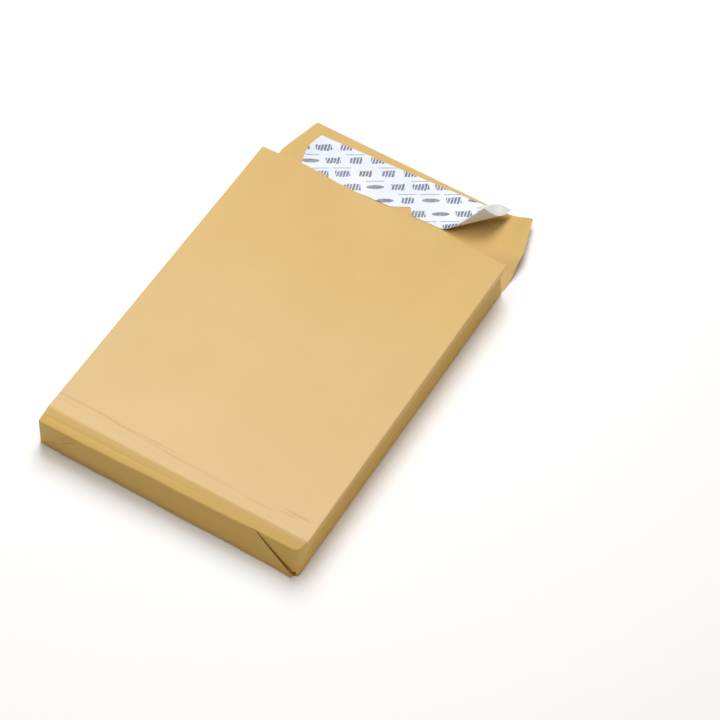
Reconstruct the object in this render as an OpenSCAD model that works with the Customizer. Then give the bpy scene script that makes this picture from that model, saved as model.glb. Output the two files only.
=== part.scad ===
// Gusseted paper envelope with a block bottom and a peel-and-seal flap.
// It lies on its front panel with the pocket open to its full depth and the flap laid out, its
// right part sprung up a little.
// The origin is the centre of the front panel's underside, Y runs towards the flap and Z is up.

/* [Pocket] */
// Width of the front and back panels
panel_w = 250; // [160:1:360]
// Length of the front and back panels from the bottom to the mouth
panel_l = 353; // [220:1:460]
// Depth of the side gussets, which is the height of the open mouth
gusset_d = 40; // [25:1:60]
// Thickness of the kraft paper
paper_t = 0.2; // [0.15:0.05:0.5]
// How far the centre crease of each gusset lies inwards
gusset_dip = 2.5; // [0.5:0.1:6]
// Extra inward set of the gusset crease at the open mouth
mouth_dip = 1; // [0:0.1:3]
// Height of the soft waves in the back panel's free edge
mouth_wave = 3; // [0:0.1:6]
// Distance of the left wave's top from the envelope's middle
left_wave_x = 80; // [40:1:90]
// Distance of the right wave's top from the envelope's middle
right_wave_x = 55; // [30:1:90]
// Reach of each wave to either side of its top
wave_reach = 40; // [20:1:60]
// Width of the glued lap that closes the tube lengthwise
lap_w = 15; // [8:1:25]

/* [Block bottom] */
// Distance from the back panel's lower edge to the crease of its flat-folded state
heel_run = 14; // [8:1:25]
// How much lower that crease lies than the open mouth
crease_drop = 4; // [0:0.5:6]
// How much lower the back panel's lower edge lies than its crease
heel_drop = 4; // [0:0.5:6]
// Set-back of the back panel's lower edge at the left corner
heel_lean_left = -1.5; // [-5:0.5:6]
// Set-back of the back panel's lower edge at the right corner
heel_lean_right = 5; // [-5:0.5:8]
// Share of the lower edge's set-back that its crease follows
crease_lean = 0.4; // [0:0.05:1]
// How far the right end of the back panel's lower edge is pulled in
heel_pull = 4; // [0:0.5:8]
// Outward bow of the bottom wall
bottom_bow = 1; // [0:0.1:3]
// How far each mitred side of the outer bottom flap runs in
mitre_run = 42; // [20:1:48]
// How far the glued outer bottom flap stands off its right corner
corner_gap = 1.5; // [0:0.1:3]
// Length of that corner
corner_l = 35; // [10:1:80]

/* [Closing flap] */
// Depth of the part of the flap that folds over onto the back panel
flap_d = 44; // [40:1:80]
// Inward taper of each side edge of the flap
flap_taper = 10; // [4:1:25]
// Radius of the flap's free corners
flap_corner_r = 2; // [1:0.5:15]
// Width of the flap's right part that has sprung up, at the fold line
bend_w = 60; // [50:1:70]
// Slope of that part
bend_slope = 14; // [1:1:20]
// Radius of the soft bend where it starts
bend_r = 40; // [20:1:60]
// Direction of the bend, measured from the side edge
bend_turn = 17.5; // [0:0.5:25]

/* [Adhesive strip] */
// Width of the pressure-sensitive adhesive strip
adhesive_w = 20; // [10:1:24]
// Length of the adhesive strip
adhesive_l = 184; // [120:1:188]
// Thickness of the adhesive strip
adhesive_t = 0.1; // [0.05:0.05:0.3]
// Distance from the strip to the flap's free edge
adhesive_margin = 17; // [14:1:18]
// Distance from the strip's left end to the envelope's left edge
adhesive_inset = 27; // [24:1:40]

/* [Release liner] */
// Width of the release liner
liner_w = 45; // [40:1:48]
// Length of the release liner
liner_l = 194; // [182:1:200]
// Thickness of the release liner
liner_t = 0.1; // [0.05:0.05:0.3]
// Distance from the liner's far left corner to the flap's free edge
liner_margin = 12; // [8:0.5:13]
// Distance from the liner's far left corner to the envelope's left edge
liner_inset = 22; // [17:0.5:24]
// Small turn of the liner out of the flap's direction
liner_turn = 3.3; // [0:0.1:3.5]
// Length of the liner's near edge from its left end to where its peeled corner starts to roll up
stuck_l = 146; // [120:1:150]
// Direction in which that curl starts, measured from the near edge
curl_start = 67; // [60:1:75]
// Half angle of the cone that the curl follows
curl_cone = 32.5; // [28:0.5:50]

/* [Hidden] */

// Number of fields across a panel, up a gusset and along the pocket
n_wide = 16;
n_high = 4;
n_long = 12;
// Points round one section of the tube
n_loop = 2 * n_wide + 2 * n_high;
// Number of fields in the liner's curl that end at its far edge, and at its right end
n_curl_far = 8;
n_curl_end = 12;
// Number of fields across the flat part of the flap, its soft bend and its sloping part
n_flat = 6;
n_bend = 5;
n_slope = 4;
// Number of fields along the flap's throat and along its fold-over part
n_throat = 6;
n_fold_over = 4;
// Number of segments in a rounded corner of the flap
n_corner = 6;
// Distance from the mouth at which the flap's right part starts to rise
bend_clear = 10;
// Distance of the curl's apex from the liner's near edge
apex_out = 1.5;
// How much of the liner's peeled corner is cut off
corner_cut = 1;
// Height of the block that trims the adhesive, more than the flap's own
tall = 60;
// Overlap by which glued layers are joined into one sheet
join = 3;

half_w = panel_w / 2;
bottom_y = -panel_l / 2;
mouth_y = panel_l / 2;
crease_h = gusset_d - crease_drop;
heel_h = crease_h - heel_drop;
// The flap first climbs the depth of the mouth, then folds onto the back panel
flap_fold_y = mouth_y + gusset_d;
flap_end_y = flap_fold_y + flap_d;
flap_end_half_w = half_w - flap_taper;
flap_corner_x = flap_end_half_w - flap_corner_r;
flap_corner_y = flap_end_y - flap_corner_r;
bend_l = bend_r * bend_slope * PI / 180;
adhesive_y = flap_end_y - adhesive_margin - adhesive_w;
adhesive_x = adhesive_inset - half_w;
liner_x = liner_inset - half_w;
liner_y = flap_end_y - liner_margin;
liner_z = paper_t + adhesive_t;
// Directions from the curl's apex to the far and the near corner of the liner's right end
far_turn = atan2(liner_w + apex_out, liner_l - stuck_l);
near_turn = atan2(apex_out, liner_l - stuck_l - corner_cut);

stations = concat([0, heel_run], [for (k = [1:n_long]) heel_run + (panel_l - heel_run) * k / n_long]);
n_stations = len(stations);

function mix(a, b, f) = a + (b - a) * f;
function smooth(f) = let (c = min(1, max(0, f))) c * c * (3 - 2 * c);
function hump(x, middle, reach) = abs(x - middle) < reach ? (1 + cos(180 * (x - middle) / reach)) / 2 : 0;

// Height of the back panel above the front panel's underside, at a distance from the bottom
function rise(along) =
    along <= heel_run
        ? mix(heel_h, crease_h, along / heel_run)
        : mix(crease_h, gusset_d, (along - heel_run) / (panel_l - heel_run));

// The two soft waves of the back panel, which grow towards its free edge
function wave(x, along) =
    mouth_wave * pow(along / panel_l, 4)
        * (hump(x, -left_wave_x, wave_reach) + hump(x, right_wave_x, wave_reach));

// Inward set of a gusset's centre crease, which starts above the block bottom's mitre
function dip(along) = gusset_dip * min(1, along / gusset_d) + mouth_dip * pow(along / panel_l, 6);

// Set-back of the bottom wall at a height given as a share of the wall
function lean(x, share) = share * mix(heel_lean_left, heel_lean_right, (x + half_w) / panel_w);
// Share of that set-back that a station has: all of it at the wall, part of it at the crease
function lean_fade(along) = along > heel_run ? 0 : mix(1, crease_lean, along / heel_run);
function bow(x, share) = bottom_bow * (1 - pow(2 * share - 1, 2)) * (1 - pow(abs(x) / half_w, 4));

// Inward set of the right side at the lower edge, which ends at the crease
function pull(share, along) = heel_pull * share * max(0, 1 - along / heel_run);

// A point of the tube's skin: i across, j up, at a station, set inwards by the inset
function skin(i, j, along, inset) =
    let (
        share = j / n_high,
        side = i == 0 ? 1 : i == n_wide ? -1 : 0,
        x = mix(inset - half_w, half_w - inset - pull(share, along), i / n_wide),
        fold_in = side * dip(along) * (1 - abs(2 * share - 1)),
        z = mix(inset, rise(along) + wave(x, along) - inset, share)
    )
    [x + fold_in, bottom_y + max(along, inset) + lean(x, share) * lean_fade(along), z];

// The section of the tube as one closed loop, from the left of the front panel round to its start
function section(along, inset) = concat(
    [for (i = [0:n_wide]) skin(i, 0, along, inset)],
    [for (j = [1:n_high - 1]) skin(n_wide, j, along, inset)],
    [for (i = [n_wide:-1:0]) skin(i, n_high, along, inset)],
    [for (j = [n_high - 1:-1:1]) skin(0, j, along, inset)]
);

// The inner field of the bottom wall, which bows outwards
function wall_field(inset) = [
    for (j = [1:n_high - 1], i = [1:n_wide - 1])
        let (p = skin(i, j, 0, inset)) [p[0], p[1] - bow(p[0], j / n_high), p[2]]
];

// Number of a point of the bottom wall, in a list that holds the sections and then the field
function wall_point(i, j) =
    j == 0 ? i
    : i == n_wide ? n_wide + j
    : j == n_high ? 2 * n_wide + n_high - i
    : i == 0 ? 2 * n_wide + 2 * n_high - j
    : n_stations * n_loop + (j - 1) * (n_wide - 1) + i - 1;

function turned(face) = [face[0], face[2], face[1]];
function split(a, b, c, d) = [[a, b, c], [a, c, d]];

// Triangles of the long skin and of the bottom wall
function tube_faces() = [
    for (k = [0:n_stations - 2], m = [0:n_loop - 1])
        let (a = k * n_loop + m, b = k * n_loop + (m + 1) % n_loop)
        each split(a, b, b + n_loop, a + n_loop)
];
function wall_faces() = [
    for (i = [0:n_wide - 1], j = [0:n_high - 1])
        each split(wall_point(i, j), wall_point(i, j + 1), wall_point(i + 1, j + 1), wall_point(i + 1, j))
];

// A thin sheet between two skins of points. Seen from the first skin's side, its rows follow
// each other upwards where its columns run to the right.
module sheet(first, second, n_rows, n_columns) {
    columns = n_columns + 1;
    shift = len(first);
    first_faces = [
        for (k = [0:n_rows - 1], i = [0:n_columns - 1])
            let (a = k * columns + i)
            each split(a, a + columns, a + columns + 1, a + 1)
    ];
    second_faces = [for (face = first_faces) turned(face) + [shift, shift, shift]];
    outline = concat(
        [for (i = [0:n_columns - 1]) i],
        [for (k = [0:n_rows - 1]) k * columns + n_columns],
        [for (i = [n_columns:-1:1]) n_rows * columns + i],
        [for (k = [n_rows:-1:1]) k * columns]
    );
    n_outline = len(outline);
    edge = [
        for (m = [0:n_outline - 1])
            let (a = outline[m], b = outline[(m + 1) % n_outline])
            each split(a, b, b + shift, a + shift)
    ];
    polyhedron(concat(first, second), concat(first_faces, second_faces, edge), convexity = 4);
}

// The folded tube: front and back panel, gussets and the inner layer of the block bottom
module tube() {
    outer = concat([for (along = stations) each section(along, 0)], wall_field(0));
    inner = concat([for (along = stations) each section(along, paper_t)], wall_field(paper_t));
    shift = len(outer);
    skin_faces = concat(tube_faces(), wall_faces());
    last = (n_stations - 1) * n_loop;
    rim = [
        for (m = [0:n_loop - 1])
            let (a = last + m, b = last + (m + 1) % n_loop)
            each split(a, b, b + shift, a + shift)
    ];
    inner_faces = [for (face = skin_faces) turned(face) + [shift, shift, shift]];
    polyhedron(concat(outer, inner), concat(skin_faces, inner_faces, rim), convexity = 8);
}

// The outer bottom flap, folded up from the front panel, with mitred side edges
module bottom_flap() {
    function lift(x, share) = corner_gap * pow(max(0, (x - half_w) / corner_l + 1), 2) * (1 - share);
    function flap_point(i, j, off) =
        let (
            share = j / n_high,
            reach = half_w - mitre_run * share,
            x = mix(-reach, reach, i / n_wide)
        )
        [x, bottom_y + lean(x, share) - bow(x, share) + off - lift(x, share), heel_h * share];
    sheet(
        [for (j = [0:n_high], i = [0:n_wide]) flap_point(i, j, -paper_t)],
        [for (j = [0:n_high], i = [0:n_wide]) flap_point(i, j, paper_t / 2)],
        n_high, n_wide
    );
}

// Half the width of the flap at a distance along Y: straight, then tapered, then rounded
function flap_half(y) =
    y <= flap_fold_y ? half_w
    : y <= flap_corner_y ? mix(half_w, flap_end_half_w, (y - flap_fold_y) / (flap_corner_y - flap_fold_y))
    : flap_corner_x + sqrt(max(0, pow(flap_corner_r, 2) - pow(y - flap_corner_y, 2)));

// Where the soft bend of the flap starts and ends across it
function bend_start(y) = half_w - bend_w + (y - flap_fold_y) * tan(bend_turn);
function bend_end(y) = bend_start(y) + bend_l / cos(bend_turn);

// A point of the flap at its flat position, set upwards from the underside by the inset.
// Past the start of the bend the paper follows a roll and then slopes up straight.
function bent(x, y, inset) =
    let (
        past = max(0, (x - bend_start(y)) * cos(bend_turn)),
        angle = min(past, bend_l) / bend_r * 180 / PI,
        tail = max(0, past - bend_l),
        radius = bend_r - inset,
        out = past > 0 ? radius * sin(angle) + tail * cos(angle) : 0,
        up = past > 0 ? bend_r - radius * cos(angle) + tail * sin(angle) - inset : 0,
        free = smooth((y - mouth_y - bend_clear) / (gusset_d - bend_clear)),
        move = (out - past) * free * free
    )
    [x + move * cos(bend_turn), y - move * sin(bend_turn), inset + up * free];

// One row of points across the flap, with columns that follow the bend
function bent_row(y, inset) =
    let (half = flap_half(y), from = bend_start(y), to = bend_end(y))
    concat(
        [for (k = [0:n_flat]) bent(mix(-half, from, k / n_flat), y, inset)],
        [for (k = [1:n_bend]) bent(mix(from, to, k / n_bend), y, inset)],
        [for (k = [1:n_slope]) bent(mix(to, half, k / n_slope), y, inset)]
    );

// The closing flap, one with the front panel, laid out beyond the mouth
module closing_flap() {
    rows = concat(
        [mouth_y - join],
        [for (k = [0:n_throat]) mix(mouth_y, flap_fold_y, k / n_throat)],
        [for (k = [1:n_fold_over]) mix(flap_fold_y, flap_corner_y, k / n_fold_over)],
        [for (k = [1:n_corner]) flap_corner_y + flap_corner_r * sin(90 * k / n_corner)]
    );
    sheet(
        [for (y = rows) each bent_row(y, paper_t)],
        [for (y = rows) each bent_row(y, 0)],
        len(rows) - 1, n_flat + n_bend + n_slope
    );
}

// The lap that closes the tube, glued inside along the front panel's left edge
module side_lap() {
    translate([gusset_dip + mouth_dip - half_w, bottom_y + heel_run, 0])
        cube([lap_w, panel_l - heel_run - join, 2 * paper_t]);
}

// The whole folded and glued sheet of kraft paper
module envelope() {
    color("burlywood") union() {
        tube();
        bottom_flap();
        closing_flap();
        side_lap();
    }
}

// The adhesive strip on the inside of the flap, which follows the flap's bend
module adhesive_strip() {
    rows = [adhesive_y, adhesive_y + adhesive_w];
    color("gainsboro") intersection() {
        sheet(
            [for (y = rows) each bent_row(y, paper_t + adhesive_t)],
            [for (y = rows) each bent_row(y, paper_t)],
            1, n_flat + n_bend + n_slope
        );
        translate([adhesive_x, adhesive_y - adhesive_w, 0]) cube([adhesive_l, 3 * adhesive_w, tall]);
    }
}

// A point of the liner in its place: s along it and t across it from its far left corner
function liner_place(s, t, z) = [
    liner_x + s * cos(liner_turn) - t * sin(liner_turn),
    liner_y + s * sin(liner_turn) + t * cos(liner_turn),
    liner_z + z
];

// A point of the liner's curl, which is part of a cone that touches the flat liner: at a distance
// and in a direction from the cone's apex in the flat liner, set upwards by the inset
function curl_point(turn, distance, inset) =
    let (
        roll = (curl_start - turn) / sin(curl_cone),
        ahead = distance * (pow(cos(curl_cone), 2) + pow(sin(curl_cone), 2) * cos(roll))
            + inset * sin(curl_cone) * cos(curl_cone) * (1 - cos(roll)),
        aside = (distance * sin(curl_cone) - inset * cos(curl_cone)) * sin(roll),
        up = distance * sin(curl_cone) * cos(curl_cone) * (1 - cos(roll))
            + inset * (pow(sin(curl_cone), 2) + pow(cos(curl_cone), 2) * cos(roll))
    )
    liner_place(
        stuck_l + ahead * cos(curl_start) + aside * sin(curl_start),
        ahead * sin(curl_start) - aside * cos(curl_start) - apex_out - liner_w,
        up
    );

// The two ends of one row across the curl: at the near edge, and at the far edge or the right end
function curl_row(turn, inset) =
    let (reach = turn >= far_turn ? (liner_w + apex_out) / sin(turn) : (liner_l - stuck_l) / cos(turn))
    [curl_point(turn, apex_out / sin(turn), inset), curl_point(turn, reach, inset)];

// The liner's rows, from its left end to its peeled corner
function liner_rows(inset) = concat(
    [liner_place(0, -liner_w, inset), liner_place(0, 0, inset)],
    [for (k = [0:n_curl_far]) each curl_row(mix(curl_start, far_turn, k / n_curl_far), inset)],
    [for (k = [1:n_curl_end]) each curl_row(mix(far_turn, near_turn, k / n_curl_end), inset)]
);

// The release liner, lying on the adhesive, with its near right corner rolled up
module release_liner() {
    color("aliceblue")
        sheet(liner_rows(0), liner_rows(liner_t), n_curl_far + n_curl_end + 1, 1);
}

envelope();
adhesive_strip();
release_liner();
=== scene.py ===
import math

import bmesh
import bpy
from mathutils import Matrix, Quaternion, Vector, noise


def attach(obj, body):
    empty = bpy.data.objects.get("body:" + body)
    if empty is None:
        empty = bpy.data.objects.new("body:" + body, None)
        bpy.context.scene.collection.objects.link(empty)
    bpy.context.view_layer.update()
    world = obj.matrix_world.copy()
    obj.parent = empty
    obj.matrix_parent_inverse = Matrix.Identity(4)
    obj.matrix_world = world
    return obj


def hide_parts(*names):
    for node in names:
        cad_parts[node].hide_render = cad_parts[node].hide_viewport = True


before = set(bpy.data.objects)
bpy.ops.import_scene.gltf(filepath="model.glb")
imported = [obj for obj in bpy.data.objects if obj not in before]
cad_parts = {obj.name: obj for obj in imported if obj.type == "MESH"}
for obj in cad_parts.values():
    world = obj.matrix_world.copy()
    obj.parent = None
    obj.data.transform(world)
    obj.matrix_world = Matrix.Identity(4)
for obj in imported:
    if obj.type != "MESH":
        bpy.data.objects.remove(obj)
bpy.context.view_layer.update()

# Lengths are in metres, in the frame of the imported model, apart from those of the print. Points are first
# laid out on a plain folded box: "along" is the distance from its bottom, "share" a part of its height.

# The folded envelope
HALF_WIDTH = 0.125
BOTTOM = -0.1765
MOUTH = 0.1765
DEPTH = 0.040
LENGTH = MOUTH - BOTTOM
PAPER = 0.0002
FOLD_RADIUS = 0.0008
LEFT_CORNER_RADIUS = 0.0013
RIGHT_CORNER_RADIUS = 0.0045
THROAT_WIDENING = 0.006
FLAP_FOLD = 0.2165
FLAP_END = 0.2605
FLAP_END_HALF = 0.115
FLAP_CORNER = 0.002
LAP = 0.015
LAP_CORNER = 0.003
LAP_SHORT = 0.003
TINY = 1e-6

# The flap's right part has sprung up past a soft slanting bend, and its corner is curled a little
BEND_WIDTH = 0.060
BEND_SLOPE = math.radians(14)
BEND_RADIUS = 0.040
BEND_TURN = math.radians(17.5)
BEND_CLEAR = 0.010
CORNER_CURL = 0.003
CORNER_CURL_START = 0.088

# The block bottom: height of its wall and of the crease above it, and how both lean
HEEL_RUN = 0.014
HEEL_HEIGHT = 0.032
CREASE_HEIGHT = 0.036
HEEL_LEAN_LEFT = -0.0015
HEEL_LEAN_RIGHT = 0.005
CREASE_LEAN = 0.4
LEAN_END = 0.042
HEEL_PULL = 0.004
BOTTOM_BOW = 0.001

# The outer bottom flap: its mitres, the thin gap behind it, and how far its right foot stands off
MITRE_RUN = 0.042
MITRE_PULL = 0.9 * HEEL_PULL
LAYER_GAP = 0.00004
MITRE_LIFT = 0.0001
MITRE_LIFT_RUN = 0.006
CORNER_GAP = 0.0015
CORNER_LENGTH = 0.035
FOOT_CORNER = 0.0068

# The dark slit at the right mitre, where the inner layer lies back; places in X, and beside the mitre
INNER_SET_BACK = 0.0016
INNER_START, INNER_FULL = 0.066, 0.084
SET_BACK_RUN = 0.012
SLIT_DEPTH = 0.0055
SLIT_EDGE = 0.0006
SLIT_FULL = 0.002
SLIT_REACH = 0.007
SLIT_FADE = 0.7
FOOT_SET_BACK = 0.45
FOOT_START, FOOT_FULL = 0.1208, 0.1243
SLIT_CUTS = (-SLIT_REACH, -0.0045, -0.0024, -SLIT_EDGE, 0.0, SLIT_EDGE, 0.0014)

# The short slanting crumple near the left mitre; its middle and reach are shares of the wall's height
CRUMPLE_X = -0.100
CRUMPLE_MIDDLE = 0.67
CRUMPLE_RUN = 0.0226
CRUMPLE_REACH = 0.36
CRUMPLE_HALF_WIDTH = 0.0026
CRUMPLE_HEIGHT = 0.0027
CRUMPLE_CUTS = (-0.0026, -0.0018, -0.0010, -0.0004, 0.0, 0.0004, 0.0010, 0.0018, 0.0026)

# Gussets, and the waves of the back panel's free edge
GUSSET_DIP = 0.0025
GUSSET_BLEND = (0.110, 0.122)
MOUTH_DIP = 0.001
MOUTH_WAVE = 0.003
LEFT_WAVE = -0.080
RIGHT_WAVE = 0.055
WAVE_REACH = 0.040

# Unevenness of the paper: height, grain and seed. It fades in from the bottom and from the side folds.
BACK_PANEL_WAVES = (0.00045, 0.085, 1.0)
BACK_PANEL_RIPPLES = (0.00012, 0.021, 5.0)
GUSSET_SWAY = (0.0004, 0.06, 7.0)
WALL_WAVES = (0.0005, 0.034, 13.0)
LINER_WAVES = (0.00025, 0.03, 11.0)
UNEVEN_START = 0.03
UNEVEN_EDGE = 0.012

# The second pressed line of the flat-folded bottom, which wanders and fades towards the right
PRESSED_LINE_LEFT = 0.0305
PRESSED_LINE_RIGHT = 0.0260
PRESSED_LINE_BEND = (-0.100, 0.010)
PRESSED_LINE_FADE = (0.065, -0.045)
PRESSED_LINE_WANDER = (0.0011, 0.045, 3.0)
PRESSED_LINE_PATCHES = (0.5, 0.018, 9.0)
PRESSED_LINE_MEAN = 0.75
PRESSED_DEPTH = 0.00065
PRESSED_LEAST = 0.00008
RIDGE_SHARE = 0.6
RIDGE_OFFSET = 0.0030
RIDGE_WIDTH = 0.0024
MARK_WIDTH = 0.0011

# Shorter creases in the back panel: X, distance from the bottom, length and depth
SHORT_CREASES = (
    (-0.030, 0.0302, 0.022, 0.00045),
    (-0.072, 0.0262, 0.014, 0.00030),
    (0.030, 0.0248, 0.020, 0.00032),
    (0.106, 0.0315, 0.013, 0.00065),
    (0.098, 0.0280, 0.010, 0.00045),
    (0.072, 0.0240, 0.016, 0.00040),
)

# The fine line along the strip between the crease and the lower edge
FINE_LINE = 0.0066
FINE_LINE_DEPTH = 0.00018
FINE_LINE_WIDTH = 0.0009
FINE_LINE_FADE = (0.11, -0.09)

# How wide a fold's and a crease's marks are for the material, and the lightening along the cut edge: paler
# cut paper with a painted highlight
FOLD_MARK_WIDTH = 0.0016
CUT_EDGE_AND_HIGHLIGHT_WIDTH = 0.001
CUT_EDGE_AND_HIGHLIGHT_SHARE = 0.35
CREASE_MARK_STRETCH = 1.3
CREASE_MARK_DEPTH = 0.0006

# Spacing of the rows and columns of points that let the paper bend
COLUMN_STEP = 0.005
ROW_STEP = 0.005
FOLD_ROW = 0.002
FLAP_ROW_STEP = 0.008
FLAP_END_MARGIN = 0.004
WALL_ROW_STEP = 0.004
EDGE_COLUMNS = (HALF_WIDTH - 0.0022, HALF_WIDTH - 0.005)
WALL_EDGE = 0.0025
WALL_FACE_LEAST = 1e-5
CENTRE_CREASE = 0.0009
FOOT_ROW = 0.0014
OUTER_FOOT_ROWS = [0.0001, 0.0003, 0.0006, 0.001, 0.002]
OUTER_ROW_STEP = 0.003
ROWS_NEAR_BOTTOM = [0.0022, 0.004, 0.0054, 0.0060, 0.0066, 0.0072, 0.0078, 0.0095, 0.0125, 0.0134, 0.014]
ROWS_NEAR_BOTTOM += [0.0146, 0.0155, 0.018, 0.0205] + [0.0221 + 0.0007 * k for k in range(20)]
ROWS_EVEN_FROM = 0.0385

# The release liner on the flap: its far left corner, and the cone that its curl follows
LINER_X = -0.103
LINER_Y = 0.2485
LINER_Z = 0.0003
LINER_LENGTH = 0.1933
LINER_WIDTH = 0.045
LINER_THICKNESS = 0.0001
LINER_TURN = math.radians(3.3)
LINER_GAP = 0.00025
STUCK_LENGTH = 0.137
APEX_OUT = 0.0105
CURL_START = math.radians(60.8)
CURL_CONE = math.radians(25.4)

# Its points lie closer at its left end, and along the straight lines of the cone
LINER_END_PART = 0.012
LINER_END_STEP = 0.001
LINER_STEP = 0.004
LINER_CROSS_STEP = 0.003
CONE_CUTS = 34

# Its far edge's lift, its curved left end, and the tear in its near edge
FAR_LIFT = 0.0075
FAR_LIFT_MIDDLE = 0.181
FAR_LIFT_REACH = 0.017
FAR_LIFT_START = 0.022
LEFT_END_LIFT = 0.0016
LEFT_END_RUN = 0.010
END_BULGE = 0.004
END_BULGE_RUN = 0.03
END_CHORD = 0.040
TEAR_START = 0.0925
TEAR_END = 0.1150
TEAR_TIP = (0.1092, 0.0088)


# Handling of meshes


def select_only(*pieces):
    """Selects these pieces and nothing else, and makes the first one active."""
    bpy.ops.object.select_all(action="DESELECT")
    for piece in pieces:
        piece.select_set(True)
    if pieces:
        bpy.context.view_layer.objects.active = pieces[0]


def start_piece(name, size):
    """Names the primitive just added, sizes it and opens it for editing with its place in its mesh."""
    piece = bpy.context.object
    piece.name = piece.data.name = name
    piece.scale = size
    bpy.ops.object.transform_apply(location=True, rotation=True, scale=True)
    bpy.ops.object.mode_set(mode="EDIT")
    return piece


def close_piece():
    bpy.ops.object.mode_set(mode="OBJECT")


def pick(kind, wanted):
    """Selects what the test wants of the vertices, edges or faces of the mesh being edited."""
    bpy.ops.mesh.select_mode(type=kind)
    bpy.ops.mesh.select_all(action="DESELECT")
    mesh = bpy.context.edit_object.data
    sheet = bmesh.from_edit_mesh(mesh)
    for item in {"VERT": sheet.verts, "EDGE": sheet.edges, "FACE": sheet.faces}[kind]:
        if wanted(item):
            item.select_set(True)
    sheet.select_flush_mode()
    bmesh.update_edit_mesh(mesh)


def ends(edge, wanted):
    return all(wanted(v.co) for v in edge.verts)


def cut(axis, places):
    """Cuts a row of edges across the whole mesh at each place along an axis."""
    facing = [0, 0, 0]
    facing[axis] = 1
    for place in places:
        at = [0, 0, 0]
        at[axis] = place
        bpy.ops.mesh.select_all(action="SELECT")
        bpy.ops.mesh.bisect(plane_co=at, plane_no=facing)


def cut_wall(x, z, run_x, run_z, places, wanted):
    """Cuts the wanted faces along slanting lines on the bottom wall, at these places in X beside a point."""
    facing = Vector((run_z, 0, -run_x)).normalized()
    for place in places:
        pick("FACE", wanted)
        bpy.ops.mesh.bisect(plane_co=(x + place, BOTTOM, z), plane_no=facing)


def rows(first, last, step):
    """Evenly spaced places between two ends, without the ends."""
    count = max(1, round((last - first) / step))
    return [first + (last - first) * k / count for k in range(1, count)]


def round_corners(radius, segments, wanted):
    """Rounds the wanted corners of a flat sheet."""
    pick("VERT", wanted)
    bpy.ops.mesh.bevel(offset=radius, segments=segments, affect="VERTICES")


def mark_points(piece, name, amount):
    """Keeps an amount for each point of a piece, which its material reads."""
    marks = piece.data.attributes.new(name, "FLOAT", "POINT")
    for vertex, mark in zip(piece.data.vertices, marks.data):
        mark.value = amount(vertex.co)


def thicken(sheet, thickness):
    """Gives a sheet its thickness, on the side away from its faces; that side takes the second material."""
    select_only(sheet)
    modifier = sheet.modifiers.new("paper thickness", "SOLIDIFY")
    modifier.thickness = thickness
    modifier.offset = -1
    modifier.material_offset = 1
    bpy.ops.object.modifier_apply(modifier=modifier.name)


# The shape that the folded paper settles into


def mix(a, b, share):
    return a + (b - a) * share


def ramp(value, start, full):
    """0 up to the start, 1 from where it is full, and a soft slope between."""
    share = min(max((value - start) / (full - start), 0.0), 1.0)
    return share * share * (3 - 2 * share)


def hump(value, middle, reach):
    """1 in the middle, falling softly to 0 at its reach."""
    away = abs(value - middle)
    return 0.5 + 0.5 * math.cos(math.pi * away / reach) if away < reach else 0.0


def bell(offset, width):
    return math.exp(-((offset / width) ** 2))


def unevenness(x, y, waves):
    height, grain, seed = waves
    return height * noise.noise(Vector((x / grain, y / grain, seed)))


def rise(along):
    """Height of the back panel at a distance from the bottom."""
    if along <= HEEL_RUN:
        return mix(HEEL_HEIGHT, CREASE_HEIGHT, along / HEEL_RUN)
    return mix(CREASE_HEIGHT, DEPTH, (along - HEEL_RUN) / (LENGTH - HEEL_RUN))


def wave(x, along):
    """The two soft waves that grow towards the free edge of the back panel."""
    both = hump(x, LEFT_WAVE, WAVE_REACH) + hump(x, RIGHT_WAVE, WAVE_REACH)
    return MOUTH_WAVE * (along / LENGTH) ** 4 * both


def dip(along):
    """How far a gusset's centre crease is folded in."""
    return GUSSET_DIP * min(1.0, along / DEPTH) + MOUTH_DIP * (along / LENGTH) ** 6


def lean(x, share, along):
    """Set-back of the bottom wall, which the crease above it follows in part."""
    if along > HEEL_RUN:
        fade = CREASE_LEAN * max(0.0, 1 - (along - HEEL_RUN) / (LEAN_END - HEEL_RUN))
    else:
        fade = mix(1.0, CREASE_LEAN, along / HEEL_RUN)
    return share * fade * mix(HEEL_LEAN_LEFT, HEEL_LEAN_RIGHT, (x + HALF_WIDTH) / (2 * HALF_WIDTH))


def bow(x, share):
    """How far the bottom wall and its outer flap bulge out."""
    inner = 1 - min(1.0, abs(x) / HALF_WIDTH) ** 4
    return inner * (BOTTOM_BOW * (1 - (2 * share - 1) ** 2) + unevenness(x, share * DEPTH, WALL_WAVES))


def crumple(x, share):
    """The short slanting ridge near the left end of the bottom wall."""
    beside = x - CRUMPLE_X - CRUMPLE_RUN * (share - CRUMPLE_MIDDLE)
    return CRUMPLE_HEIGHT * hump(beside, 0.0, CRUMPLE_HALF_WIDTH) * hump(share, CRUMPLE_MIDDLE, CRUMPLE_REACH)


def mitre(z):
    """Where the right mitre of the outer bottom flap crosses the inner layer at a height of the plain box."""
    return HALF_WIDTH - (MITRE_RUN - MITRE_PULL) * z / DEPTH


def set_back(x, z, along):
    """How far the inner layer of the block bottom lies behind the outer flap at its open right mitre."""
    beside = x - mitre(z)
    inner = INNER_SET_BACK * ramp(x, INNER_START, INNER_FULL)
    slit = SLIT_DEPTH * ramp(beside, SLIT_EDGE, -SLIT_EDGE) * ramp(beside, -SLIT_REACH, -SLIT_FULL)
    foot = FOOT_SET_BACK * ramp(x, FOOT_START, FOOT_FULL)
    upward = mix(foot, 1.0, ramp(z, 0.0, FOLD_RADIUS)) * max(0.0, 1 - z / DEPTH) ** SLIT_FADE
    return (inner + slit) * upward * max(0.0, 1 - along / SET_BACK_RUN)


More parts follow.
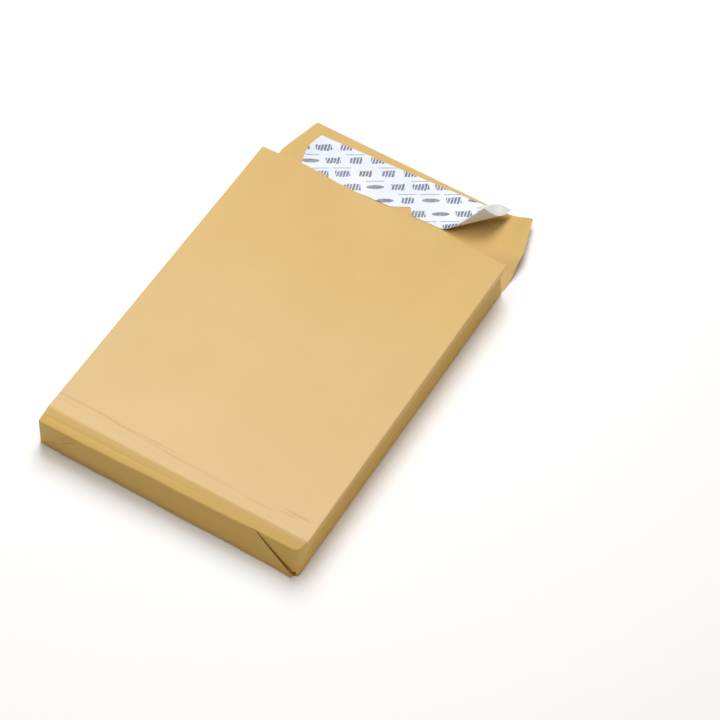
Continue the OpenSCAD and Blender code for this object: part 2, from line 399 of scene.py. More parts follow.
def handling_marks(x, along):
    """The faint lines that pressing and handling left in the back panel."""
    line = mix(PRESSED_LINE_LEFT, PRESSED_LINE_RIGHT, ramp(x, *PRESSED_LINE_BEND))
    line += unevenness(x, 0.0, PRESSED_LINE_WANDER)
    patchy = PRESSED_LINE_MEAN + unevenness(x, 0.0, PRESSED_LINE_PATCHES)
    depth = PRESSED_DEPTH * patchy * ramp(x, *PRESSED_LINE_FADE) + PRESSED_LEAST
    height = RIDGE_SHARE * depth * bell(along - line + RIDGE_OFFSET, RIDGE_WIDTH)
    height -= depth * bell(along - line, MARK_WIDTH)
    for crease_x, crease_along, length, crease_depth in SHORT_CREASES:
        height -= crease_depth * bell(x - crease_x, length) * bell(along - crease_along, MARK_WIDTH)
    return height - FINE_LINE_DEPTH * ramp(x, *FINE_LINE_FADE) * bell(along - FINE_LINE, FINE_LINE_WIDTH)


def bent(x, y):
    """Where a point of the flat flap lies: it rolls up a little at the bend, then slopes up straight."""
    start = HALF_WIDTH - BEND_WIDTH + (y - FLAP_FOLD) * math.tan(BEND_TURN)
    past = max(0.0, (x - start) * math.cos(BEND_TURN))
    arc = BEND_RADIUS * BEND_SLOPE
    angle = min(past, arc) / BEND_RADIUS
    straight = max(0.0, past - arc)
    out = BEND_RADIUS * math.sin(angle) + straight * math.cos(angle)
    up = BEND_RADIUS * (1 - math.cos(angle)) + straight * math.sin(angle)
    free = ramp(y, MOUTH + BEND_CLEAR, FLAP_FOLD)
    move = (out - past) * free * free
    corner = ramp(x, CORNER_CURL_START, FLAP_END_HALF) * ramp(y, FLAP_FOLD, FLAP_END)
    curl = CORNER_CURL * corner
    new_x = x + move * math.cos(BEND_TURN) - curl
    return Vector((new_x, y - move * math.sin(BEND_TURN), up * free + curl * corner))


def settle(point):
    """Where a point of the plain folded box lies once the paper has settled."""
    x, y, z = point
    if y > MOUTH + TINY:
        return bent(x, y)
    along = max(0.0, y - BOTTOM)
    share = z / DEPTH
    top = rise(along) + wave(x, along)
    if share > 0.9:
        inner = ramp(abs(x), HALF_WIDTH, HALF_WIDTH - UNEVEN_EDGE)
        top += inner * ramp(along, 0.0, UNEVEN_START) * unevenness(x, y, BACK_PANEL_WAVES)
        top += inner * (unevenness(x, y, BACK_PANEL_RIPPLES) + handling_marks(x, along))
    new_x = x
    if abs(x) > HALF_WIDTH / 2 and along > 0.0:
        fold_in = dip(along) * (1 - abs(2 * share - 1))
        sway = math.sin(math.pi * share) * ramp(along, 0.0, UNEVEN_START) * unevenness(y, x, GUSSET_SWAY)
        new_x -= math.copysign(fold_in + sway, x) * ramp(abs(x), *GUSSET_BLEND)
    new_x -= HEEL_PULL * share * max(0.0, 1 - along / HEEL_RUN) * (x + HALF_WIDTH) / (2 * HALF_WIDTH)
    on_wall = max(0.0, 1 - along / FOLD_RADIUS)
    new_y = y + lean(x, share, along) - on_wall * (bow(x, share) + crumple(x, share)) + set_back(x, z, along)
    return Vector((new_x, new_y, top * share))


def fold_marks(point):
    """How near a point of the plain box is to a fold: 1 on the fold, 0 away from it."""
    x, y, z = point
    if y > MOUTH + TINY:
        return 0.0
    low, high = z < FOLD_RADIUS + TINY, z > DEPTH - FOLD_RADIUS - TINY
    if low or high:
        gaps = [min(HALF_WIDTH - abs(x), y - BOTTOM)]
        if high:
            gaps.append(abs(y - BOTTOM - HEEL_RUN) * CREASE_MARK_STRETCH)
    else:
        gaps = [min(z, DEPTH - z), max(HALF_WIDTH - abs(x), y - BOTTOM)]
        if abs(x) > HALF_WIDTH - FOLD_RADIUS:
            gaps.append(abs(z - DEPTH / 2))
    return bell(min(gaps), FOLD_MARK_WIDTH)


def crease_marks(point):
    """How deep a point of the plain box lies in a line that handling left: 1 at the deepest."""
    x, y, z = point
    if z < DEPTH - TINY or y >= MOUTH:
        return 0.0
    return ramp(-handling_marks(x, y - BOTTOM), 0.0, CREASE_MARK_DEPTH)


# The pieces


def grow_throat_and_flap():
    """Extrudes both out of the front panel's edge at the mouth."""

    def at_mouth(edge):
        return ends(edge, lambda p: p.y > MOUTH - TINY and p.z < TINY) and edge.calc_length() > HALF_WIDTH

    def grow(distance):
        bpy.ops.mesh.extrude_region_move(TRANSFORM_OT_translate={"value": (0, distance, 0)})

    pick("EDGE", at_mouth)
    grow(THROAT_WIDENING)
    widened = HALF_WIDTH / (HALF_WIDTH - FOLD_RADIUS)
    bpy.ops.transform.resize(value=(widened, 1, 1), center_override=(0, MOUTH + THROAT_WIDENING, 0))
    grow(FLAP_FOLD - MOUTH - THROAT_WIDENING)
    grow(FLAP_END - FLAP_FOLD)
    bpy.ops.transform.resize(value=(FLAP_END_HALF / HALF_WIDTH, 1, 1), center_override=(0, FLAP_END, 0))
    round_corners(FLAP_CORNER, 6, lambda v: v.co.y > FLAP_END - TINY)


def cut_tube():
    """Cuts the rows and columns that let the paper bend, close together at the creases."""

    def on_wall(face):
        return face.calc_center_median().y < BOTTOM + TINY and face.calc_area() > WALL_FACE_LEAST

    cut_wall(HALF_WIDTH, 0, mitre(DEPTH) - mitre(0), DEPTH, SLIT_CUTS, on_wall)
    cut_wall(CRUMPLE_X, CRUMPLE_MIDDLE * DEPTH, CRUMPLE_RUN, DEPTH, CRUMPLE_CUTS, on_wall)
    side = HALF_WIDTH - COLUMN_STEP
    cut(0, [-x for x in EDGE_COLUMNS] + list(EDGE_COLUMNS) + rows(-side, side, COLUMN_STEP))

    even_from, even_to = BOTTOM + ROWS_EVEN_FROM, MOUTH - ROW_STEP
    cut(1, [BOTTOM + along for along in ROWS_NEAR_BOTTOM] + [even_from])
    cut(1, rows(even_from, even_to, ROW_STEP) + [even_to, MOUTH - FOLD_ROW])
    cut(1, [MOUTH + FOLD_ROW, FLAP_FOLD - FOLD_ROW, FLAP_FOLD + FOLD_ROW])
    cut(1, rows(MOUTH + FLAP_ROW_STEP, FLAP_FOLD - FOLD_ROW, FLAP_ROW_STEP))
    cut(1, rows(FLAP_FOLD + FOLD_ROW, FLAP_END - FLAP_END_MARGIN, FLAP_ROW_STEP))

    middle = DEPTH / 2
    below, above = middle - CENTRE_CREASE, middle + CENTRE_CREASE
    cut(2, [FOOT_ROW, WALL_EDGE, DEPTH - WALL_EDGE, middle, below, above])
    cut(2, rows(WALL_EDGE, below, WALL_ROW_STEP) + rows(above, DEPTH - WALL_EDGE, WALL_ROW_STEP))


def folded_tube():
    """Front and back panel, gussets, the inner layer of the block bottom, and the flap with its throat."""
    select_only()
    bpy.ops.mesh.primitive_cube_add(size=1, location=(0, 0, DEPTH / 2))
    tube = start_piece("kraft_envelope", (2 * HALF_WIDTH, LENGTH, DEPTH))
    pick("FACE", lambda f: f.normal.y > 0.9)
    bpy.ops.mesh.delete(type="ONLY_FACE")

    # The upright corners of the block bottom, then the folds round both panels
    for side, radius, segments in ((-1, LEFT_CORNER_RADIUS, 4), (1, RIGHT_CORNER_RADIUS, 7)):
        pick(
            "EDGE",
            lambda e: ends(e, lambda p: p.y < BOTTOM + TINY and side * p.x > HALF_WIDTH - TINY)
            and abs(e.verts[0].co.z - e.verts[1].co.z) > TINY,
        )
        bpy.ops.mesh.bevel(offset=radius, segments=segments, profile=0.5, affect="EDGES")
    pick(
        "EDGE",
        lambda e: (ends(e, lambda p: p.z < TINY) or ends(e, lambda p: p.z > DEPTH - TINY))
        and not ends(e, lambda p: p.y > MOUTH - TINY),
    )
    bpy.ops.mesh.bevel(offset=FOLD_RADIUS, segments=3, profile=0.5, affect="EDGES")

    grow_throat_and_flap()
    cut_tube()
    close_piece()
    mark_points(tube, "fold", fold_marks)
    mark_points(tube, "crease", crease_marks)
    for vertex in tube.data.vertices:
        vertex.co = settle(vertex.co)
    return tube


def outer_bottom_flap():
    """The last layer of the block bottom: it folds up from the front panel and has mitred sides."""
    select_only()
    bpy.ops.mesh.primitive_plane_add(
        size=1, location=(0, BOTTOM, HEEL_HEIGHT / 2), rotation=(math.pi / 2, 0, 0)
    )
    flap = start_piece("outer_bottom_flap", (2 * HALF_WIDTH, HEEL_HEIGHT, 1))
    pick("EDGE", lambda e: ends(e, lambda p: p.z > HEEL_HEIGHT - TINY))
    narrowed = (HALF_WIDTH - MITRE_RUN) / HALF_WIDTH
    bpy.ops.transform.resize(value=(narrowed, 1, 1), center_override=(0, BOTTOM, HEEL_HEIGHT))
    round_corners(FOOT_CORNER, 4, lambda v: v.co.x > HALF_WIDTH - TINY)
    middle = CRUMPLE_MIDDLE * HEEL_HEIGHT
    cut_wall(CRUMPLE_X, middle, CRUMPLE_RUN, HEEL_HEIGHT, CRUMPLE_CUTS, lambda f: True)
    cut(0, rows(-HALF_WIDTH, HALF_WIDTH, COLUMN_STEP))
    cut(2, OUTER_FOOT_ROWS + rows(OUTER_FOOT_ROWS[-1], HEEL_HEIGHT, OUTER_ROW_STEP))
    close_piece()

    def marks(point):
        # Lightened along the cut upper edge: paler cut paper, with a painted highlight where the edge catches
        # the light
        cut_edge_and_highlight = CUT_EDGE_AND_HIGHLIGHT_SHARE * bell(HEEL_HEIGHT - point.z, CUT_EDGE_AND_HIGHLIGHT_WIDTH)
        return bell(point.z, FOLD_MARK_WIDTH) + cut_edge_and_highlight

    mark_points(flap, "fold", marks)
    radius = FOLD_RADIUS + PAPER
    for vertex in flap.data.vertices:
        x, _, z = vertex.co
        share = z / HEEL_HEIGHT
        fold = radius - math.sqrt(max(0.0, radius**2 - (radius - z) ** 2)) if z < radius else 0.0
        edge = HALF_WIDTH - MITRE_RUN * share
        lift = MITRE_LIFT * ramp(x, edge - MITRE_LIFT_RUN, edge)
        lift += CORNER_GAP * max(0.0, (x - HALF_WIDTH) / CORNER_LENGTH + 1) ** 2 * (1 - share)
        wall_y = BOTTOM + lean(x, share, 0.0) - bow(x, share) - crumple(x, share)
        vertex.co = (x, wall_y - PAPER - LAYER_GAP - lift + fold, z)
    return flap


def glued_lap():
    """The lap inside the pocket that closes the tube."""
    select_only()
    start = BOTTOM + HEEL_RUN
    finish = MOUTH - LAP_SHORT
    left = GUSSET_DIP + MOUTH_DIP - HALF_WIDTH
    bpy.ops.mesh.primitive_plane_add(size=1, location=(left + LAP / 2, (start + finish) / 2, PAPER))
    lap = start_piece("glued_lap", (LAP, finish - start, 1))
    bpy.ops.mesh.flip_normals()
    round_corners(LAP_CORNER, 3, lambda v: v.co.x > left + LAP / 2)
    close_piece()
    return lap


def make_envelope():
    """All layers of the folded sheet, each with the thickness of the paper."""
    layers = [folded_tube(), outer_bottom_flap(), glued_lap()]
    for layer in layers:
        thicken(layer, PAPER)
    select_only(*layers)
    bpy.ops.object.join()
    envelope = layers[0]
    for finish in (glazed_kraft(), matt_kraft()):
        envelope.data.materials.append(finish)
    return envelope


def curled(s, t):
    """Where a point of the flat strip lies: past a slanting line it follows a cone that touches the strip."""
    ahead, aside = s - STUCK_LENGTH, t + APEX_OUT
    direction = math.atan2(aside, ahead)
    if ahead <= 0 or direction >= CURL_START:
        return Vector((s, t, 0))
    distance = math.hypot(ahead, aside)
    sine, cosine = math.sin(CURL_CONE), math.cos(CURL_CONE)
    roll = (CURL_START - direction) / sine
    on = distance * (cosine**2 + sine**2 * math.cos(roll))
    beside = distance * sine * math.sin(roll)
    up = distance * sine * cosine * (1 - math.cos(roll))
    new_s = STUCK_LENGTH + on * math.cos(CURL_START) + beside * math.sin(CURL_START)
    new_t = on * math.sin(CURL_START) - beside * math.cos(CURL_START) - APEX_OUT
    return Vector((new_s, new_t, up))


def tear_near_edge():
    """Cuts out the tear, which has a long slanting side and a short one."""
    tip_s, tip_t = TEAR_TIP
    for foot in (TEAR_START, TEAR_END):
        bpy.ops.mesh.select_all(action="SELECT")
        facing = Vector((-tip_t, tip_s - foot, 0)).normalized()
        bpy.ops.mesh.bisect(plane_co=(foot, 0, 0), plane_no=facing)

    def torn(face):
        s, t, _ = face.calc_center_median()
        left = mix(TEAR_START, tip_s, t / tip_t)
        right = mix(TEAR_END, tip_s, t / tip_t)
        return t < tip_t and left < s < right

    pick("FACE", torn)
    bpy.ops.mesh.delete(type="FACE")


def flat_liner():
    """The strip as it is cut, with its layout for the print in decimetres."""
    select_only()
    bpy.ops.mesh.primitive_plane_add(size=1, location=(LINER_LENGTH / 2, LINER_WIDTH / 2, 0))
    liner = start_piece("release_liner_strip", (LINER_LENGTH, LINER_WIDTH, 1))
    cut(0, rows(0, LINER_END_PART, LINER_END_STEP) + [LINER_END_PART])
    cut(0, rows(LINER_END_PART, LINER_LENGTH, LINER_STEP))
    cut(1, rows(0, LINER_WIDTH, LINER_CROSS_STEP))
    # Cuts along the cone's straight lines
    for k in range(CONE_CUTS):
        direction = CURL_START * (1 - k / CONE_CUTS)
        facing = (-math.sin(direction), math.cos(direction), 0)
        bpy.ops.mesh.select_all(action="SELECT")
        bpy.ops.mesh.bisect(plane_co=(STUCK_LENGTH, -APEX_OUT, 0), plane_no=facing)
    tear_near_edge()
    close_piece()

    # The left end is cut in a shallow curve
    for vertex in liner.data.vertices:
        s, t, _ = vertex.co
        bulge = END_BULGE * math.sin(math.pi * min(1.0, (LINER_WIDTH - t) / END_CHORD))
        vertex.co.x -= bulge * max(0.0, 1 - s / END_BULGE_RUN) ** 2

    layout = liner.data.uv_layers.active or liner.data.uv_layers.new(name="layout")
    layout.name = "layout"
    for loop, spot in zip(liner.data.loops, layout.data):
        s, t, _ = liner.data.vertices[loop.vertex_index].co
        spot.uv = (s * 10, t * 10)
    return liner


def make_liner():
    """The siliconised strip, which lies on the adhesive and is curled up at its near right corner."""
    liner = flat_liner()
    turn = Quaternion((0, 0, 1), LINER_TURN)
    for vertex in liner.data.vertices:
        s, t, _ = vertex.co
        place = curled(s, t) - Vector((0, LINER_WIDTH, 0))
        place.z += FAR_LIFT * hump(s, FAR_LIFT_MIDDLE, FAR_LIFT_REACH) * ramp(t, FAR_LIFT_START, LINER_WIDTH)
        place.z += LEFT_END_LIFT * max(0.0, 1 - (s + END_BULGE) / LEFT_END_RUN) ** 2
        place.z += LINER_GAP + unevenness(s, t, LINER_WAVES)
        vertex.co = turn @ place + Vector((LINER_X, LINER_Y, LINER_Z + LINER_THICKNESS))
    thicken(liner, LINER_THICKNESS)
    for finish in (printed_liner(), liner_back()):
        liner.data.materials.append(finish)
    return liner


# Node building

FLOAT, COLOUR, VECTOR = "NodeSocketFloat", "NodeSocketColor", "NodeSocketVector"


def feed(tree, socket, value):
    """Links a socket to a socket, or sets its value."""
    if isinstance(value, bpy.types.NodeSocket):
        tree.links.new(value, socket)
    else:
        socket.default_value = value


def add(tree, kind, values=(), **settings):
    node = tree.nodes.new(kind)
    for key, value in settings.items():
        setattr(node, key, value)
    for key, value in dict(values).items():
        feed(tree, node.inputs[key], value)
    return node


def figure(tree, operation, *values):
    """A Math node's result."""
    return add(tree, "ShaderNodeMath", dict(enumerate(values)), operation=operation).outputs[0]


def product(tree, first, *others):
    for other in others:
        first = figure(tree, "MULTIPLY", first, other)
    return first


def blend_colours(tree, share, first, second):
    node = add(tree, "ShaderNodeMix", data_type="RGBA")
    feed(tree, node.inputs["Factor"], share)
    feed(tree, node.inputs[6], first)
    feed(tree, node.inputs[7], second)
    return node.outputs[2]


def soft_noise(tree, place, scale, detail=2.0, stretch=(1, 1, 1)):
    turned = add(tree, "ShaderNodeMapping", {"Vector": place, "Scale": stretch}).outputs[0]
    return add(tree, "ShaderNodeTexNoise", {"Vector": turned, "Scale": scale, "Detail": detail}).outputs[0]


def spread(tree, value, low, high, out_low=0.0, out_high=1.0):
    """Maps a value from one range to another, and holds it inside the new one."""
    values = {"Value": value, "From Min": low, "From Max": high, "To Min": out_low, "To Max": out_high}
    return add(tree, "ShaderNodeMapRange", values).outputs[0]


def new_group(name, inputs, outputs):
    """A shader node group with its named sockets; returns it with its input and output nodes."""
    group = bpy.data.node_groups.new(name, "ShaderNodeTree")
    for in_out, sockets in (("INPUT", inputs), ("OUTPUT", outputs)):
        for label, kind in sockets.items():
            group.interface.new_socket(name=label, in_out=in_out, socket_type=kind)
    return group, group.nodes.new("NodeGroupInput"), group.nodes.new("NodeGroupOutput")


def use_group(tree, group, values):
    node = tree.nodes.new("ShaderNodeGroup")
    node.node_tree = group
    for key, value in values.items():
        feed(tree, node.inputs[key], value)
    return node


# Effects that several materials use

# Scale, detail and stretch of the noise behind each grain of the paper, and the range of it that shows
CLOUDS = (16.0, 3.0, (1, 1, 1), 0.3, 0.7)
FLOCKS = (240.0, 3.0, (1, 1, 1), 0.3, 0.7)
FIBRES = (900.0, 2.0, (2.6, 0.45, 1.0), 0.35, 0.65)
CROSS_FIBRES = (1100.0, 2.0, (0.6, 2.2, 1.0), 0.35, 0.65)
SHIVES = (420.0, 1.0, (1.6, 0.5, 1.0), 0.70, 0.78)

# How much of each grain goes into the relief, and into the gloss
FIBRE_RELIEF, CROSS_FIBRE_RELIEF, FLOCK_RELIEF = 0.5, 0.3, 0.6
FLOCK_GLOSS = 0.6

# Scale and detail of the patches in a worn fold, the range of them that shows, and what that range gives
FOLD_PATCHES = (130.0, 3.0)
FOLD_PATCH_RANGE = (0.3, 0.65, 0.35, 1.0)
FOLD_ROUGHNESS = 0.2

# The print, in millimetres: its strokes, ovals and rules, and how often an oval or a rule comes
STROKE_PITCH = 3.0
STROKE_SLANT = 0.3
STROKE_HALF_SHARE = 0.37
STROKE_HALF_HEIGHT, STROKE_EXTRA_HEIGHT = 2.9, 1.3
BLOCK_HALF_WIDTH, BLOCK_EXTRA_WIDTH = 5.6, 2.6
OVAL_HALF_WIDTH, OVAL_HALF_HEIGHT = 8.2, 2.3
OVAL_FROM = 0.78
RULE_PLACE = 0.44
RULE_HALF_WIDTH, RULE_HALF_HEIGHT = 8.5, 0.34
RULE_FROM = 0.45
ROW_SHIFT = 0.37


def paper_stock_group():
    """Cloudy formation, flocks, drawn-out fibres and a few dark shives, as paper shows them."""
    group, given, result = new_group(
        "paper stock",
        {"Place": VECTOR, "Paper": COLOUR, "Deep": COLOUR, "Pale": COLOUR, "Cloud": FLOAT, "Fibre": FLOAT},
        {"Color": COLOUR, "Height": FLOAT, "Gloss Change": FLOAT},
    )

    def grain(scale, detail, stretch, low, high):
        return spread(group, soft_noise(group, given.outputs["Place"], scale, detail, stretch), low, high)

    flocks, fibres = grain(*FLOCKS), grain(*FIBRES)
    cloud_share = product(group, grain(*CLOUDS), given.outputs["Cloud"])
    fibre_share = product(group, fibres, flocks, given.outputs["Fibre"])
    shive_share = product(group, grain(*SHIVES), given.outputs["Fibre"])
    colour = blend_colours(group, cloud_share, given.outputs["Paper"], given.outputs["Deep"])
    colour = blend_colours(group, fibre_share, colour, given.outputs["Pale"])
    colour = blend_colours(group, shive_share, colour, given.outputs["Deep"])
    relief = product(group, fibres, FIBRE_RELIEF)
    relief = figure(group, "MULTIPLY_ADD", grain(*CROSS_FIBRES), CROSS_FIBRE_RELIEF, relief)
    relief = figure(group, "MULTIPLY_ADD", flocks, FLOCK_RELIEF, relief)
    feed(group, result.inputs["Color"], colour)
    feed(group, result.inputs["Height"], relief)
    gloss = figure(group, "MULTIPLY_ADD", flocks, FLOCK_GLOSS, cloud_share)
    feed(group, result.inputs["Gloss Change"], gloss)
    return group


def pressed_fold_group():
    """Lightens the paper where a fold broke its surface, unevenly along the fold."""
    group, given, result = new_group(
        "pressed fold",
        {"Place": VECTOR, "Fold": FLOAT, "Color": COLOUR, "Broken": COLOUR, "Amount": FLOAT},
        {"Color": COLOUR, "Roughness Change": FLOAT},
    )
    patches = spread(group, soft_noise(group, given.outputs["Place"], *FOLD_PATCHES), *FOLD_PATCH_RANGE)
    wear_and_sheen = product(group, given.outputs["Fold"], patches, given.outputs["Amount"])
    colour = blend_colours(group, wear_and_sheen, given.outputs["Color"], given.outputs["Broken"])
    feed(group, result.inputs["Color"], colour)
    feed(group, result.inputs["Roughness Change"], product(group, wear_and_sheen, FOLD_ROUGHNESS))
    return group


def printed_rows_group():
    """A plain print: slanting rows of short strokes, with an oval here and there and thin rules between."""
    group, given, result = new_group(
        "printed rows",
        {"Layout": VECTOR, "Row": FLOAT, "Column": FLOAT},
        {"Strokes": FLOAT, "Ovals": FLOAT, "Rules": FLOAT},
    )

    def value(operation, *values):
        return figure(group, operation, *values)

    def centred(steps, size):
        """Distance from the middle of a row or column."""
        return product(group, value("SUBTRACT", value("FRACT", steps), 0.5), size)

    def chance(first, second):
        pair = add(group, "ShaderNodeCombineXYZ", {0: first, 1: second, 2: 0.5}).outputs[0]
        return add(group, "ShaderNodeTexWhiteNoise", {"Vector": pair}, noise_dimensions="3D").outputs[0]

    def inside(offset, limit):
        return value("LESS_THAN", value("ABSOLUTE", offset), limit)

    parts = add(group, "ShaderNodeSeparateXYZ", {0: given.outputs["Layout"]}).outputs
    row_height, column_width = given.outputs["Row"], given.outputs["Column"]
    down = value("DIVIDE", parts[1], row_height)
    row = value("FLOOR", down)
    v = centred(down, row_height)
    right = value("MULTIPLY_ADD", row, ROW_SHIFT, value("DIVIDE", parts[0], column_width))
    column = value("FLOOR", right)
    u = centred(right, column_width)
    kind = chance(column, row)

    # Slanting strokes of uneven height, in blocks of uneven width
    slanted = value("DIVIDE", value("SUBTRACT", u, product(group, v, STROKE_SLANT)), STROKE_PITCH)
    stroke_chance = chance(value("ADD", value("FLOOR", slanted), 50.0), value("ADD", row, column))
    tall = value("MULTIPLY_ADD", stroke_chance, STROKE_EXTRA_HEIGHT, STROKE_HALF_HEIGHT)
    upright = inside(value("SUBTRACT", value("FRACT", slanted), 0.5), STROKE_HALF_SHARE)
    block_chance = chance(row, value("ADD", column, 20.0))
    width = value("MULTIPLY_ADD", block_chance, BLOCK_EXTRA_WIDTH, BLOCK_HALF_WIDTH)
    strokes = product(group, upright, inside(u, width), inside(v, tall), value("LESS_THAN", kind, OVAL_FROM))
    feed(group, result.inputs["Strokes"], strokes)

    # Flat ovals
    across = value("POWER", value("DIVIDE", value("ABSOLUTE", u), OVAL_HALF_WIDTH), 2.0)
    upwards = value("POWER", value("DIVIDE", value("ABSOLUTE", v), OVAL_HALF_HEIGHT), 2.0)
    oval = value("LESS_THAN", value("ADD", across, upwards), 1.0)
    feed(group, result.inputs["Ovals"], product(group, oval, value("GREATER_THAN", kind, OVAL_FROM)))

    # Thin rules between the rows
    between = inside(value("SUBTRACT", v, product(group, row_height, RULE_PLACE)), RULE_HALF_HEIGHT)
    chosen = value("GREATER_THAN", chance(row, column), RULE_FROM)
    feed(group, result.inputs["Rules"], product(group, between, inside(u, RULE_HALF_WIDTH), chosen))
    return group


PAPER_STOCK = paper_stock_group()
PRESSED_FOLD = pressed_fold_group()
PRINTED_ROWS = printed_rows_group()


# Materials

# Tones of each paper: the paper itself, its deeper clouds and its pale fibres
GLAZED_TONES = ((0.66, 0.435, 0.15, 1), (0.62, 0.40, 0.13, 1), (0.72, 0.49, 0.20, 1))
MATT_TONES = ((0.66, 0.435, 0.145, 1), (0.61, 0.39, 0.12, 1), (0.72, 0.50, 0.20, 1))
LINER_TONES = ((0.89, 0.925, 0.97, 1), (0.64, 0.74, 0.90, 1), (0.93, 0.95, 0.98, 1))
LINER_BACK_TONES = ((0.72, 0.72, 0.70, 1), (0.66, 0.65, 0.62, 1), (0.78, 0.78, 0.76, 1))
FILM_TONES = ((0.645, 0.425, 0.15, 1), (0.60, 0.39, 0.13, 1), (0.69, 0.47, 0.20, 1))

# Kraft paper where it is folded, painted shade in the creases and on the walls, a painted sheen on the back
# panel, and how much each shows
BROKEN_KRAFT = (0.80, 0.60, 0.30, 1)
# Painted shade: pressed lines and short creases are darkened towards this kraft
CREASE_SHADE_KRAFT = (0.46, 0.29, 0.11, 1)
# Painted sheen: the back panel is blended towards this paler kraft near the bottom
SHEEN_KRAFT = (0.79, 0.58, 0.35, 1)
# Painted shade: the walls are blended towards this deeper, more saturated kraft
SHADED_WALL_KRAFT = (0.65, 0.41, 0.086, 1)
CREASE_SHADE_SHARE = 0.7
SHEEN_SHARE = 0.48
WALL_SHADE_SHARE = 0.8
SHEEN_FROM = MOUTH - 0.05
WALL_TOP = (0.036, 0.031)
WALL_END = (MOUTH + 0.004, MOUTH - 0.004)

# The print's inks, its rows and columns in millimetres, its slant, and where it ends in decimetres
DARK_INK = (0.045, 0.05, 0.09, 1)
BLUE_INK = (0.08, 0.11, 0.27, 1)
OVAL_INK = (0.11, 0.13, 0.19, 1)
RULE_INK = (0.07, 0.09, 0.17, 1)
# Painted: past the print the strip's end is greyed and warmed towards this tint, standing in for shade and
# for kraft seen through it
END_SHADE_TINT = (0.66, 0.66, 0.58, 1)
ROW_HEIGHT = 16.0
COLUMN_WIDTH = 21.0
PRINT_TURN = math.radians(-30.4)
PRINT_END = 1.66
END_SHADE_BLEND = 0.08
END_SHADE_SHARE = 0.8
SHOW_THROUGH = 0.16
INK_PATCHES = 700.0
INK_SHADES = 45.0

# Roughness of each surface, how much it varies, and how deep its grain or its ripples are, in metres
GLOSS_SPREAD = 0.08
BACK_GLOSS_SPREAD = 0.1
GLAZED_ROUGHNESS = 0.42
MATT_ROUGHNESS = 0.60
LINER_ROUGHNESS = 0.30
LINER_BACK_ROUGHNESS = 0.42
FILM_ROUGHNESS = (0.42, 0.52)
KRAFT_GRAIN = 0.00003
LINER_GRAIN = 0.00002
FILM_RIPPLES = 0.00006


def new_material(name):
    material = bpy.data.materials.new(name)
    material.use_nodes = True
    tree = material.node_tree
    return material, tree, tree.nodes["Principled BSDF"]


def object_place(tree):
    return tree.nodes.new("ShaderNodeTexCoord").outputs["Object"]


def point_mark(tree, name):
    return add(tree, "ShaderNodeAttribute", attribute_name=name).outputs["Fac"]


def stock_of(tree, place, tones, cloud, fibre):
    """The paper stock in a material's own tones."""
    values = dict(zip(("Paper", "Deep", "Pale"), tones))
    return use_group(tree, PAPER_STOCK, {"Place": place, "Cloud": cloud, "Fibre": fibre, **values})


def give_relief(tree, shader, height, strength, distance):
    bump = add(tree, "ShaderNodeBump", {"Strength": strength, "Distance": distance, "Height": height})
    feed(tree, shader.inputs["Normal"], bump.outputs[0])


def kraft(name, tones, roughness, relief, fold_amount):
    """Kraft paper with visible formation, lighter where it is folded, with painted shade in creases and on
    walls and a painted sheen low on the back panel.
    """
    material, tree, shader = new_material(name)
    place = object_place(tree)
    stock = stock_of(tree, place, tones, cloud=0.55, fibre=0.30)
    fold = {"Place": place, "Fold": point_mark(tree, "fold"), "Color": stock.outputs["Color"]}
    folded = use_group(tree, PRESSED_FOLD, {**fold, "Broken": BROKEN_KRAFT, "Amount": fold_amount})
    # Painted shade darkens the pressed lines and short creases
    crease_shade = product(tree, point_mark(tree, "crease"), CREASE_SHADE_SHARE)
    colour = blend_colours(tree, crease_shade, folded.outputs["Color"], CREASE_SHADE_KRAFT)

    # Painted shade deepens the walls, and a painted sheen makes the back panel paler towards the bottom
    _, y, z = add(tree, "ShaderNodeSeparateXYZ", {0: place}).outputs
    wall = product(tree, spread(tree, y, *WALL_END), spread(tree, z, *WALL_TOP), WALL_SHADE_SHARE)
    colour = blend_colours(tree, wall, colour, SHADED_WALL_KRAFT)
    crease = BOTTOM + HEEL_RUN
    # Painted sheen: paler towards the bottom of the back panel, above the crease
    wear_and_sheen = product(
        tree,
        spread(tree, y, SHEEN_FROM, BOTTOM, 0.0, SHEEN_SHARE),
        spread(tree, y, crease - 0.001, crease + 0.002),
        spread(tree, z, HEEL_HEIGHT, CREASE_HEIGHT - 0.001),
    )
    feed(tree, shader.inputs["Base Color"], blend_colours(tree, wear_and_sheen, colour, SHEEN_KRAFT))
    rough = figure(tree, "MULTIPLY_ADD", stock.outputs["Gloss Change"], GLOSS_SPREAD, roughness)
    feed(tree, shader.inputs["Roughness"], figure(tree, "ADD", rough, folded.outputs["Roughness Change"]))
    shader.inputs["Specular IOR Level"].default_value = 0.22
    give_relief(tree, shader, stock.outputs["Height"], relief, KRAFT_GRAIN)
    return material


def glazed_kraft():
    """The smooth outer side of the sheet."""
    return kraft("glazed kraft", GLAZED_TONES, GLAZED_ROUGHNESS, relief=0.5, fold_amount=0.22)


def matt_kraft():
    """The rougher inner side of the sheet."""
    return kraft("matt kraft", MATT_TONES, MATT_ROUGHNESS, relief=0.9, fold_amount=0.2)


def print_layout(tree):
    """The strip's own layout, and the same turned to the print's slant and measured in millimetres."""
    layout = add(tree, "ShaderNodeUVMap", uv_map="layout").outputs[0]
    values = {"Vector": layout, "Rotation": (0, 0, PRINT_TURN), "Scale": (100, 100, 100)}
    return layout, add(tree, "ShaderNodeMapping", values).outputs[0]


def thin_paper(shader):
    """Lets some of the light through the thin paper."""
    shader.inputs["Subsurface Weight"].default_value = 0.3
    shader.inputs["Subsurface Radius"].default_value = (1.0, 0.9, 0.8)
    shader.inputs["Subsurface Scale"].default_value = 0.0008


